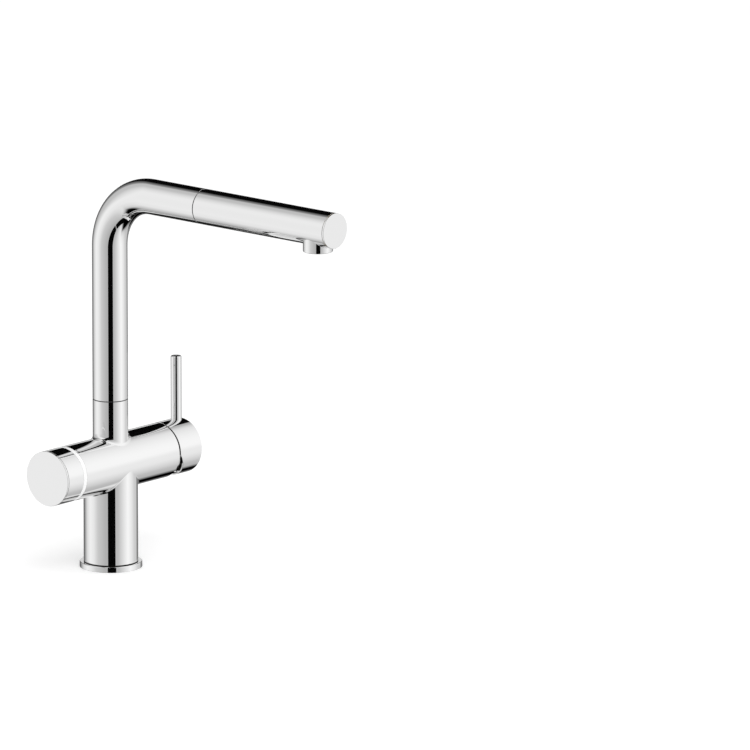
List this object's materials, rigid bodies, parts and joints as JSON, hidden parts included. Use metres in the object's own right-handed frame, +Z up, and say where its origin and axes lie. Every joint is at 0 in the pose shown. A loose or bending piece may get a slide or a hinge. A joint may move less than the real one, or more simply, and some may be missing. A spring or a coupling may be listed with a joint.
{
  "type": "sparkling water kitchen tap",
  "caption": "Chrome kitchen mixer with an L-shaped pull-out spout, a side pin lever for mixed water and an end knob that selects still or sparkling water.",
  "frame": {"origin": "centre of the base flange's underside on the worktop, where the hose passage opens", "axes": "+Z up the riser, +X along the barrel to the lever, -Y the way the spout points"},
  "size_m": [0.1833, 0.3024, 0.3697],
  "materials": {
    "chrome": "polished chrome plate on brass",
    "dome_chrome": "polished chrome",
    "white_ring": "white glossy plastic",
    "brass": "turned brass",
    "steel": "stainless steel",
    "ceramic": "lapped ceramic",
    "seal_rubber": "black rubber",
    "inner_plastic": "white acetal",
    "dark_plastic": "dark grey acetal",
    "aerator_plastic": "grey plastic",
    "hose_braid": "grey braided hose",
    "tube_plastic": "clear blue tube"
  },
  "bodies": {
    "body": {"base_flange": "chrome", "base_seal": "seal_rubber", "tap_body": "chrome", "spout_neck": "brass", "swivel_o_rings": "seal_rubber", "lower_glide_ring": "dark_plastic", "upper_glide_ring": "dark_plastic", "mixer_port_seals": "seal_rubber", "mixer_cartridge_base": "inner_plastic", "mixer_cartridge_case": "inner_plastic", "fixed_ceramic_disc": "ceramic", "cartridge_nut": "brass", "dome_cover": "dome_chrome", "selector_port_seals": "seal_rubber", "selector_case": "brass", "selector_fixed_disc": "ceramic", "gland_nut": "brass", "white_ring": "white_ring"},
    "spout": {"spout_tube": "chrome", "swivel_bush": "brass", "spout_set_screw": "steel", "docking_collar": "dark_plastic", "hose_in_riser": "hose_braid", "inner_tube_in_riser": "tube_plastic", "hose_coupling": "brass", "hose_in_arm": "hose_braid", "inner_tube_in_arm": "tube_plastic"},
    "head": {"head_shell": "chrome", "head_end_cap": "chrome", "end_cap_seal": "seal_rubber", "docking_spigot": "dark_plastic", "hose_end_fitting": "brass", "non_return_valve": "inner_plastic", "head_waterway": "inner_plastic", "aerator_cartridge": "aerator_plastic", "aerator_seal": "seal_rubber", "treated_jet": "tube_plastic"},
    "selector": {"selector_turning_disc": "ceramic", "selector_spindle": "brass", "spindle_o_ring": "seal_rubber", "selector_knob": "chrome", "knob_screw": "steel", "knob_face": "chrome"},
    "stem_guide": {"stem_carrier": "inner_plastic", "stem_pivot_pin": "steel"},
    "mixing_disc": {"moving_ceramic_disc": "ceramic", "disc_driver": "inner_plastic"},
    "lever": {"lever_stem": "brass", "lever_cap": "chrome", "lever_pin": "chrome", "cap_grub_screw": "steel"}
  },
  "joints": [
    {"name": "spout_swivel", "type": "hinge", "parent": "body", "child": "spout", "pos_m": [0, 0, 0.158], "axis": [0, 0, 1], "range_deg": [-75, 75]},
    {"name": "head_pull_out", "type": "slide", "parent": "spout", "child": "head", "axis": [0, -1, 0], "range_m": [0, 0.3], "deforming": ["hose_in_arm", "inner_tube_in_arm"]},
    {"name": "selector_turn", "type": "hinge", "parent": "body", "child": "selector", "pos_m": [-0.0643, 0, 0.097], "axis": [1, 0, 0], "range_deg": [-90, 90]},
    {"name": "lever_temperature", "type": "hinge", "parent": "body", "child": "stem_guide", "pos_m": [0.0669, 0, 0.097], "axis": [1, 0, 0], "range_deg": [-45, 45]},
    {"name": "lever_lift", "type": "hinge", "parent": "stem_guide", "child": "lever", "pos_m": [0.0669, 0, 0.097], "axis": [0, 1, 0], "range_deg": [0, 25]},
    {"name": "disc_shift", "type": "slide", "parent": "stem_guide", "child": "mixing_disc", "axis": [0, 0, 1], "range_m": [0, 0.0046]}
  ],
  "couplings": [
    {"joint": "disc_shift", "follows": "lever_lift", "m_per_rad": 0.0105}
  ]
}
